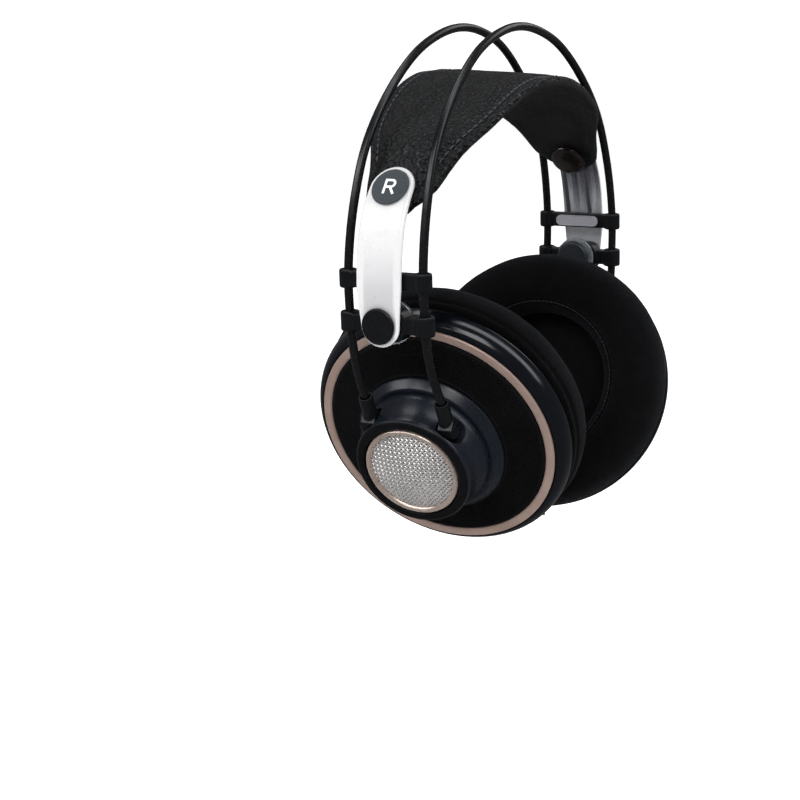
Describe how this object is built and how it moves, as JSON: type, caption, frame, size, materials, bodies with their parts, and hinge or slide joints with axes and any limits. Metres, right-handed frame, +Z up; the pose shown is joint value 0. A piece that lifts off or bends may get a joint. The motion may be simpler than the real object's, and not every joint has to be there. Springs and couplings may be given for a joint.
{
  "type": "over-ear headphones",
  "caption": "Open-back over-ear headphones with two sprung wire arches, a self-adjusting leather strap, tilting round cups with woven mesh hubs and thick velour pads.",
  "frame": {"origin": "middle of the flat underside of the leather strap, where a stand's arm or the crown of the head carries it", "axes": "+X to the wearer's left, -Y to the wearer's front, +Z up"},
  "size_m": [0.183, 0.1162, 0.2068],
  "materials": {
    "leather": "matte",
    "rod_skin": "satin",
    "black_plastic": "satin",
    "dark_plastic": "satin",
    "clear_plastic": "gloss",
    "milky_strip": "satin",
    "badge_grey": "satin",
    "rivet_gloss": "gloss",
    "plate_satin": "satin",
    "elastic": "matte",
    "champagne_metal": "satin",
    "gloss_black": "gloss",
    "grille_black": "matte",
    "hub_satin": "satin",
    "silver_metal": "satin",
    "woven_mesh": "satin",
    "felt": "matte",
    "magnet_steel": "satin",
    "driver_plastic": "matte",
    "diaphragm_film": "gloss",
    "baffle_plastic": "matte",
    "velour": "matte",
    "contact_metal": "polished"
  },
  "bodies": {
    "strap": {"headband_strap": "leather", "strip_R": "milky_strip", "side_badge_R": "badge_grey", "badge_rivet_R": "rivet_gloss", "crossbar_button_R": "dark_plastic", "lower_crossbar_R": "black_plastic", "slider_ring_R": "clear_plastic", "slider_cap_R": "dark_plastic", "strip_L": "milky_strip", "side_badge_L": "badge_grey", "badge_rivet_L": "rivet_gloss", "crossbar_button_L": "dark_plastic", "lower_crossbar_L": "black_plastic", "slider_ring_L": "clear_plastic", "slider_cap_L": "dark_plastic"},
    "bow": {"arch_rod_front": "rod_skin", "arch_rod_rear": "rod_skin", "upper_crossbar_R": "black_plastic", "name_plate_R": "plate_satin", "elastic_front_R": "elastic", "elastic_rear_R": "elastic", "rod_end_front_R": "black_plastic", "rod_end_rear_R": "black_plastic", "upper_crossbar_L": "black_plastic", "name_plate_L": "plate_satin", "elastic_front_L": "elastic", "elastic_rear_L": "elastic", "rod_end_front_L": "black_plastic", "rod_end_rear_L": "black_plastic"},
    "cup_R": {"trim_ring_R": "champagne_metal", "cup_shell_R": "gloss_black", "outer_grille_R": "grille_black", "hub_base_R": "hub_satin", "hub_cap_R": "hub_satin", "mesh_rim_R": "silver_metal", "mesh_dome_R": "woven_mesh", "damping_felt_R": "felt", "driver_magnet_R": "magnet_steel", "driver_frame_R": "driver_plastic", "diaphragm_R": "diaphragm_film", "baffle_R": "baffle_plastic"},
    "cup_L": {"trim_ring_L": "champagne_metal", "cup_shell_L": "gloss_black", "outer_grille_L": "grille_black", "hub_base_L": "hub_satin", "hub_cap_L": "hub_satin", "mesh_rim_L": "silver_metal", "mesh_dome_L": "woven_mesh", "damping_felt_L": "felt", "driver_magnet_L": "magnet_steel", "driver_frame_L": "driver_plastic", "diaphragm_L": "diaphragm_film", "baffle_L": "baffle_plastic", "cable_socket_L": "black_plastic", "socket_pins_L": "contact_metal"},
    "pad_R": {"pad_ring_R": "black_plastic", "ear_pad_R": "velour"},
    "pad_L": {"pad_ring_L": "black_plastic", "ear_pad_L": "velour"}
  },
  "joints": [
    {"name": "headband_slide", "type": "slide", "parent": "strap", "child": "bow", "axis": [0, 0, 1], "range_m": [-0.006, 0.001], "stiffness_N_per_m": 380, "springref_m": 0.0064, "deforming": ["elastic_front_R", "elastic_front_L", "elastic_rear_R", "elastic_rear_L"]},
    {"name": "cup_tilt_R", "type": "hinge", "parent": "bow", "child": "cup_R", "pos_m": [-0.06943, 0, -0.11937], "axis": [-0.0698, 0.9976, 0], "range_deg": [-2, 24]},
    {"name": "cup_tilt_L", "type": "hinge", "parent": "bow", "child": "cup_L", "pos_m": [0.06943, 0, -0.11937], "axis": [0.1392, -0.9903, 0], "range_deg": [-2, 24]},
    {"name": "pad_twist_R", "type": "hinge", "parent": "cup_R", "child": "pad_R", "pos_m": [-0.04715, 0.00156, -0.1296], "axis": [-0.935, -0.0654, -0.3486], "range_deg": [0, 12]},
    {"name": "pad_twist_L", "type": "hinge", "parent": "cup_L", "child": "pad_L", "pos_m": [0.04731, -0.00311, -0.1296], "axis": [0.9282, 0.1304, -0.3486], "range_deg": [0, 12]}
  ]
}
